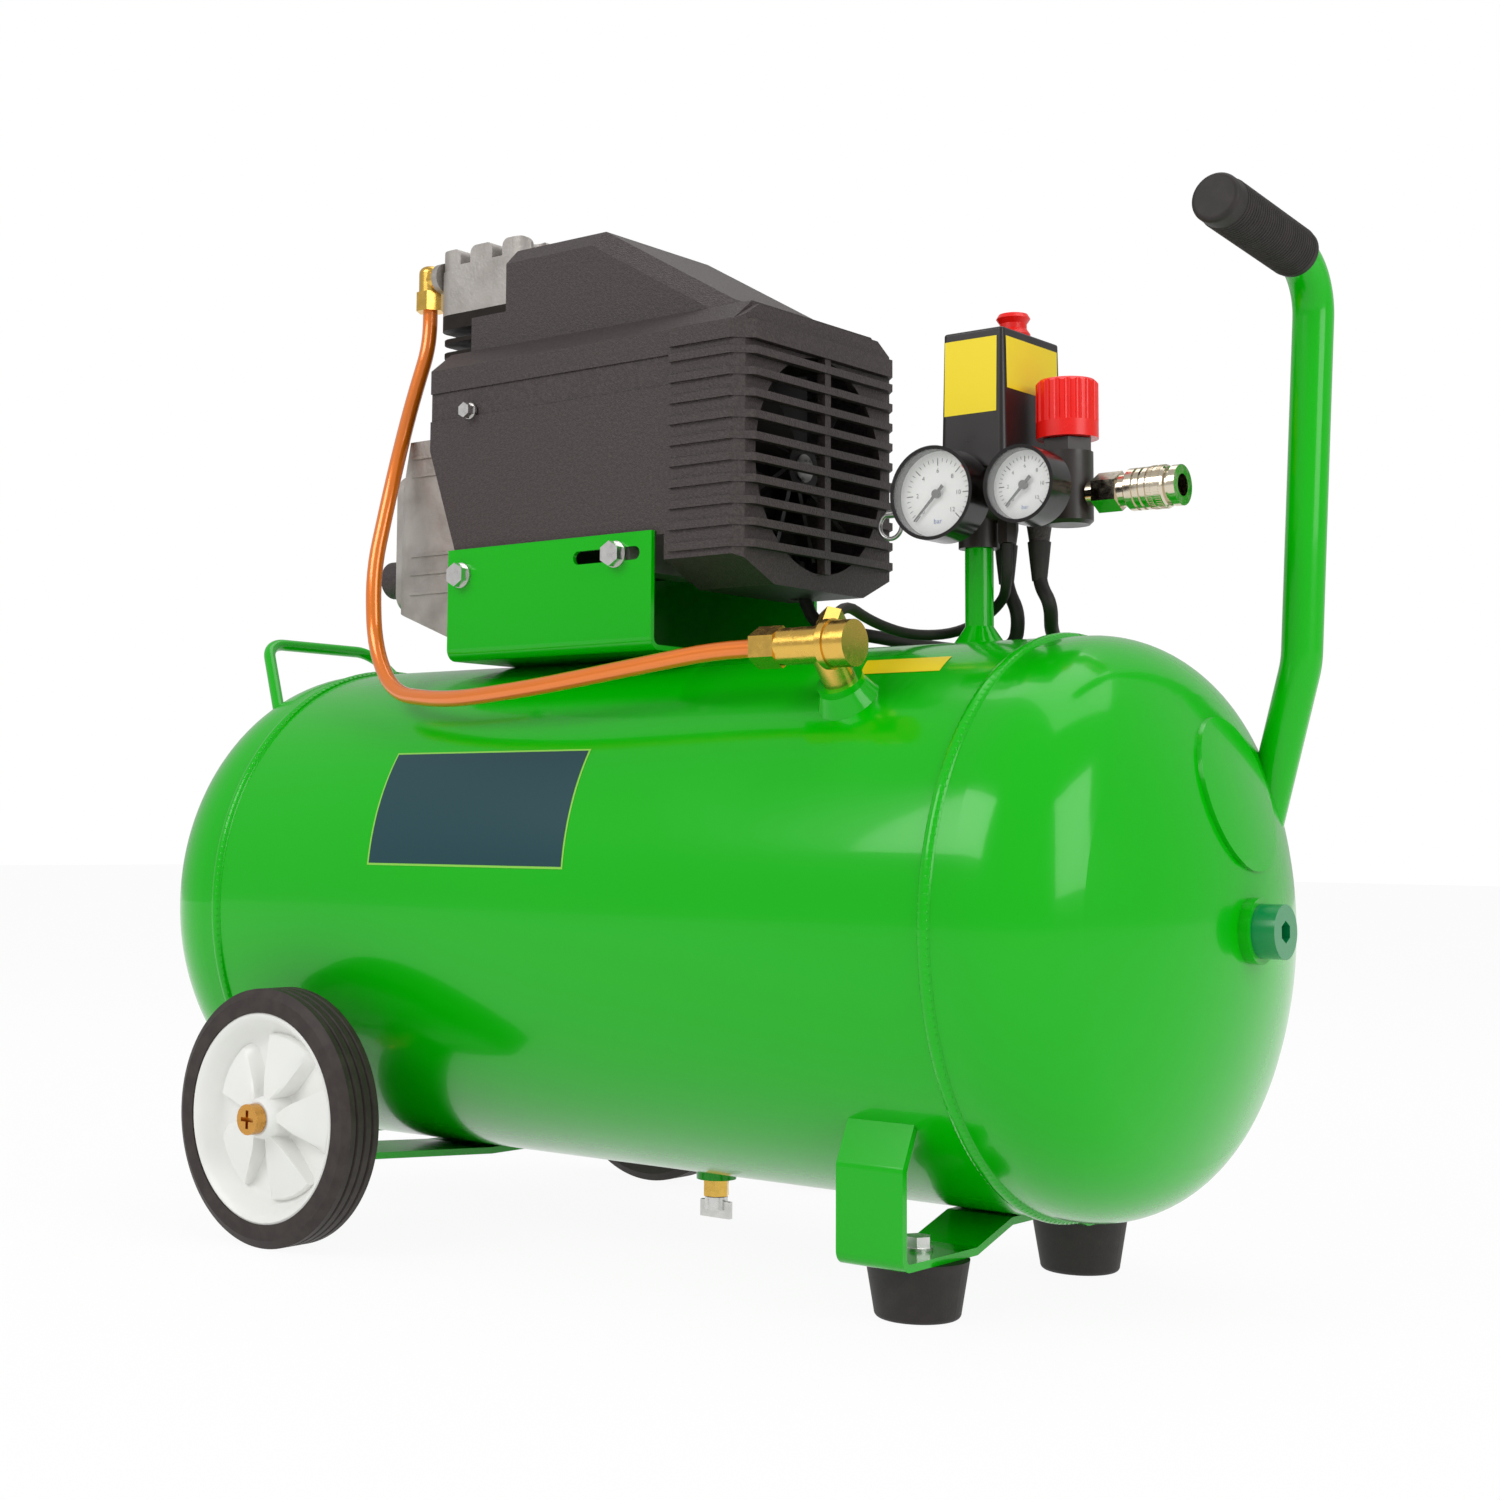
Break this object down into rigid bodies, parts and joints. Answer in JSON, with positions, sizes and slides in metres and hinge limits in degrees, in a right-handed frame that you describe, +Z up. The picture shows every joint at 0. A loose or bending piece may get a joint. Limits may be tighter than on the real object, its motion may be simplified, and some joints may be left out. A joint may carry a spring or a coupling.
{
  "type": "portable piston air compressor",
  "caption": "Portable oil-lubricated piston air compressor on a horizontal steel tank with wheels, rubber feet, push handle, ribbed motor shroud, pressure switch, gauges and quick coupler",
  "frame": {"origin": "on the floor, under the middle of the whole machine without its power cord", "axes": "+X along the tank towards the handle, -Y towards the gauges and the front wheel, +Z up"},
  "size_m": [0.7452, 0.547, 0.643],
  "materials": {
    "tank_green": "gloss",
    "plug_green": "gloss",
    "brass": "satin",
    "zinc": "satin",
    "gold_zinc": "satin",
    "tyre_rubber": "matte",
    "foot_rubber": "matte",
    "rim_plastic": "gloss",
    "cast_alloy": "matte",
    "cast_iron": "matte",
    "rod_alloy": "satin",
    "steel": "satin",
    "lamination": "matte",
    "fan_plastic": "matte",
    "shroud_plastic": "matte",
    "copper_pipe": "gloss",
    "tube_black": "satin",
    "switch_plastic": "satin",
    "red_plastic": "gloss",
    "manifold_alloy": "satin",
    "gauge_black": "gloss",
    "gauge_glass": "gloss",
    "needle_black": "matte",
    "nickel": "gloss"
  },
  "bodies": {
    "base": {"tank_shell": "tank_green", "tank_head_left": "tank_green", "tank_head_right": "tank_green", "tank_weldments": "tank_green", "wheel_bracket": "tank_green", "foot_bracket": "tank_green", "handle_tube": "tank_green", "lifting_loop": "tank_green", "saddle": "tank_green", "end_plug": "plug_green", "drain_cock": "brass", "discharge_elbow": "brass", "check_valve": "brass", "safety_valve": "brass", "hex_bolts": "zinc", "axle_bolts": "gold_zinc", "rubber_feet": "foot_rubber", "handle_grip": "foot_rubber", "power_cord": "foot_rubber", "power_coil": "foot_rubber", "power_tail": "foot_rubber", "motor_cable": "foot_rubber", "power_plug": "foot_rubber", "crankcase": "cast_alloy", "crankcase_cover": "cast_alloy", "cylinder_head": "cast_alloy", "end_shield": "cast_alloy", "valve_plate": "cast_alloy", "piston": "cast_alloy", "cylinder": "cast_iron", "crank": "cast_iron", "con_rod": "rod_alloy", "bearings": "steel", "stator": "lamination", "shroud": "shroud_plastic", "fan_guard": "shroud_plastic", "intake_filter": "shroud_plastic", "oil_fittings": "shroud_plastic", "cable_glands": "shroud_plastic", "delivery_pipe": "copper_pipe", "unloader_tube": "tube_black", "pressure_switch": "switch_plastic", "manifold": "manifold_alloy", "regulator_body": "manifold_alloy", "gauge_cases": "gauge_black", "gauge_lenses": "gauge_glass", "coupler_body": "nickel"},
    "wheel_front": {"tyre_front": "tyre_rubber", "rim_front": "rim_plastic"},
    "wheel_back": {"tyre_back": "tyre_rubber", "rim_back": "rim_plastic"},
    "motor_rotor": {"rotor": "steel", "fan": "fan_plastic"},
    "switch_button": {"switch_knob": "red_plastic"},
    "regulator_dial": {"regulator_knob": "red_plastic"},
    "tank_pointer": {"needle_tank": "needle_black"},
    "outlet_pointer": {"needle_outlet": "needle_black"},
    "release_sleeve": {"coupler_sleeve": "nickel"},
    "relief_ring": {"safety_ring": "steel"},
    "drain_handle": {"drain_knob": "zinc"}
  },
  "joints": [
    {"name": "wheel_front_spin", "type": "hinge", "parent": "base", "child": "wheel_front", "pos_m": [-0.18075, -0.181, 0.076], "axis": [0, 1, 0], "continuous": true},
    {"name": "wheel_back_spin", "type": "hinge", "parent": "base", "child": "wheel_back", "pos_m": [-0.18075, 0.181, 0.076], "axis": [0, 1, 0], "continuous": true},
    {"name": "rotor_spin", "type": "hinge", "parent": "base", "child": "motor_rotor", "pos_m": [-0.05875, 0, 0.466], "axis": [1, 0, 0], "continuous": true},
    {"name": "switch_button_pull", "type": "slide", "parent": "base", "child": "switch_button", "axis": [0, 0, 1], "range_m": [0, 0.007]},
    {"name": "regulator_dial_turn", "type": "hinge", "parent": "base", "child": "regulator_dial", "pos_m": [0.25125, 0, 0.48], "axis": [0, 0, 1], "range_deg": [0, 900]},
    {"name": "tank_pointer_swing", "type": "hinge", "parent": "base", "child": "tank_pointer", "pos_m": [0.19825, -0.05, 0.433], "axis": [0, 1, 0], "range_deg": [0, 270]},
    {"name": "outlet_pointer_swing", "type": "hinge", "parent": "base", "child": "outlet_pointer", "pos_m": [0.25225, -0.05, 0.433], "axis": [0, 1, 0], "range_deg": [0, 270]},
    {"name": "release_sleeve_slide", "type": "slide", "parent": "base", "child": "release_sleeve", "axis": [-1, 0, 0], "range_m": [0, 0.0035], "stiffness_N_per_m": 2000, "springref_m": -0.002},
    {"name": "relief_ring_pull", "type": "slide", "parent": "base", "child": "relief_ring", "axis": [-1, 0, 0], "range_m": [0, 0.0025], "stiffness_N_per_m": 3000, "springref_m": -0.002},
    {"name": "drain_handle_turn", "type": "hinge", "parent": "base", "child": "drain_handle", "pos_m": [0.01125, 0, 0.03], "axis": [0, 0, 1], "range_deg": [0, 90]}
  ]
}
